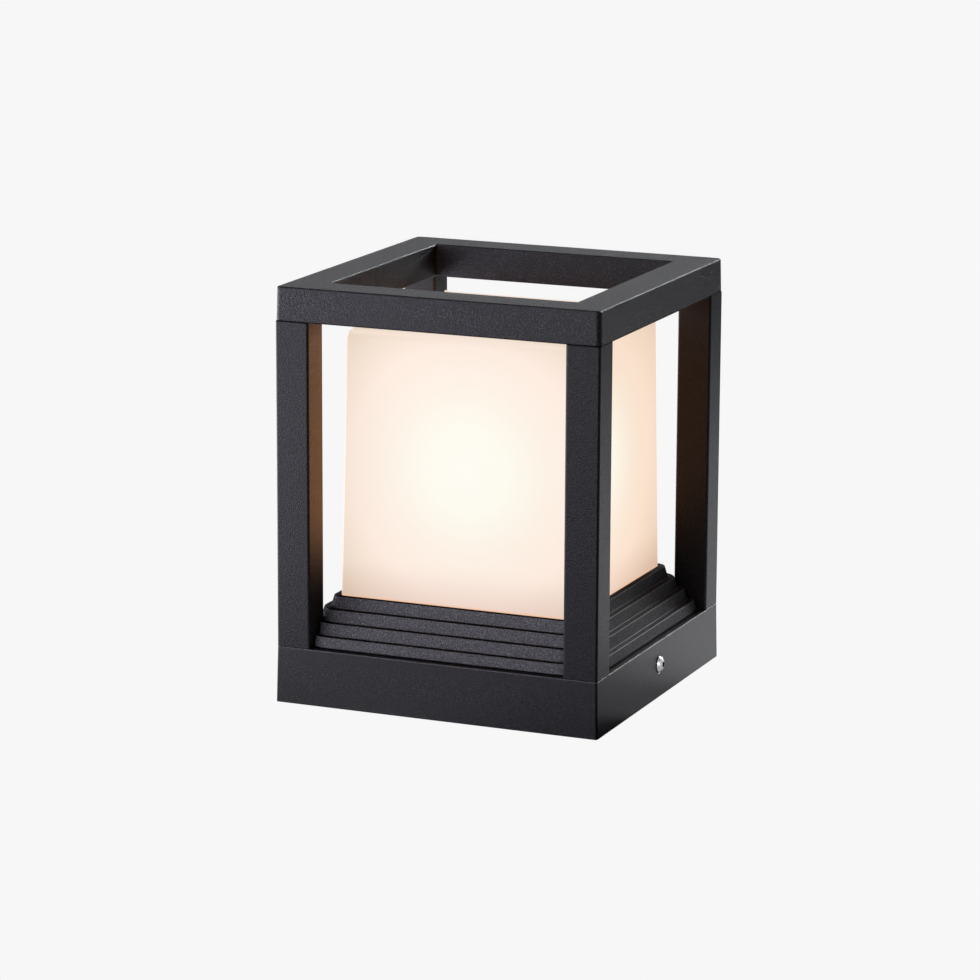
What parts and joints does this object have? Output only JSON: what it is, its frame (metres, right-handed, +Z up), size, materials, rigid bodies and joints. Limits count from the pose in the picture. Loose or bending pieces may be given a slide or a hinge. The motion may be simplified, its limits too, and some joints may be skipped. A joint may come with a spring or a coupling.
{
  "type": "pillar-top column lantern",
  "caption": "Square black pillar-top column lantern: four posts on a stepped base under an open top ring, a frosted lit box shade over a screw-in lamp, and a fixing bracket beneath.",
  "frame": {"origin": "middle of the underside, where the lantern stands on its pillar", "axes": "+Z up, -Y towards the front, +X to the right seen from the front"},
  "size_m": [0.207, 0.2024, 0.247],
  "materials": {
    "powder_coat": "matt black textured powder coat over cast and extruded aluminium",
    "opal_shade": "frosted opal, lit from inside",
    "opal_globe": "frosted, lit",
    "white_plastic": "smooth white",
    "black_nylon": "fine grained",
    "seal_rubber": "matt",
    "zinc_steel": "zinc plated",
    "stainless": "satin stainless steel",
    "brass": "bright",
    "porcelain": "glazed white",
    "circuit_board": "white solder mask",
    "lead_brown": "smooth insulation",
    "lead_blue": "smooth insulation",
    "lead_green": "smooth insulation, yellow stripe"
  },
  "bodies": {
    "bracket": {"mounting_bracket": "zinc_steel"},
    "lantern": {"base_housing": "powder_coat", "stepped_plinth": "powder_coat", "plinth_gasket": "seal_rubber", "plinth_screws": "zinc_steel", "post_front_left": "powder_coat", "post_front_right": "powder_coat", "post_rear_left": "powder_coat", "post_rear_right": "powder_coat", "top_ring": "powder_coat", "tie_bolts": "zinc_steel", "tie_washers": "zinc_steel", "shade_gasket": "seal_rubber", "shade_springs": "stainless", "spring_screws": "stainless", "holder_strap": "zinc_steel", "strap_screws": "zinc_steel", "lampholder_body": "porcelain", "lampholder_shell": "brass", "lampholder_contact": "brass", "lampholder_screws": "stainless", "lampholder_nuts": "stainless", "terminal_block": "white_plastic", "terminal_sleeves": "brass", "terminal_screws": "stainless", "block_screws": "zinc_steel", "live_lead": "lead_brown", "neutral_lead": "lead_blue", "earth_lead": "lead_green", "earth_lug": "zinc_steel", "earth_screw": "brass", "wiring_cover": "zinc_steel", "cover_gasket": "seal_rubber", "cover_screws": "zinc_steel", "gland_body": "black_nylon", "gland_cap": "black_nylon", "gland_seal": "seal_rubber", "gland_nut": "black_nylon", "gland_washer": "seal_rubber", "clamp_nuts": "zinc_steel"},
    "shade": {"shade": "opal_shade"},
    "lamp_tip": {"bulb_contact": "stainless"},
    "lamp": {"bulb_globe": "opal_globe", "bulb_housing": "white_plastic", "bulb_cap": "stainless", "bulb_insulator": "black_nylon", "led_board": "circuit_board"},
    "washer_left": {"screw_washer_left": "black_nylon"},
    "screw_left": {"lock_screw_left": "stainless"},
    "washer_right": {"screw_washer_right": "black_nylon"},
    "screw_right": {"lock_screw_right": "stainless"}
  },
  "joints": [
    {"name": "head_lift", "type": "slide", "parent": "bracket", "child": "lantern", "axis": [0, 0, 1], "range_m": [0, 0.04]},
    {"name": "shade_lift", "type": "slide", "parent": "lantern", "child": "shade", "axis": [0, 0, 1], "range_m": [0, 0.19]},
    {"name": "lamp_climb", "type": "slide", "parent": "lantern", "child": "lamp_tip", "axis": [0, 0, 1], "range_m": [0, 0.0218]},
    {"name": "lamp_turn", "type": "hinge", "parent": "lamp_tip", "child": "lamp", "pos_m": [0, 0, 0.0535], "axis": [0, 0, 1], "range_deg": [0, 2160]},
    {"name": "screw_out_left", "type": "slide", "parent": "lantern", "child": "washer_left", "axis": [-1, 0, 0], "range_m": [0, 0.003]},
    {"name": "screw_turn_left", "type": "hinge", "parent": "washer_left", "child": "screw_left", "pos_m": [-0.1, 0, 0.0198], "axis": [-1, 0, 0], "range_deg": [0, 1350]},
    {"name": "screw_out_right", "type": "slide", "parent": "lantern", "child": "washer_right", "axis": [1, 0, 0], "range_m": [0, 0.003]},
    {"name": "screw_turn_right", "type": "hinge", "parent": "washer_right", "child": "screw_right", "pos_m": [0.1, 0, 0.0198], "axis": [1, 0, 0], "range_deg": [0, 1350]}
  ],
  "couplings": [
    {"joint": "lamp_climb", "follows": "lamp_turn", "m_per_rad": 0.00057773},
    {"joint": "screw_turn_left", "follows": "screw_out_left", "rad_per_m": 7854},
    {"joint": "screw_turn_right", "follows": "screw_out_right", "rad_per_m": 7854}
  ]
}
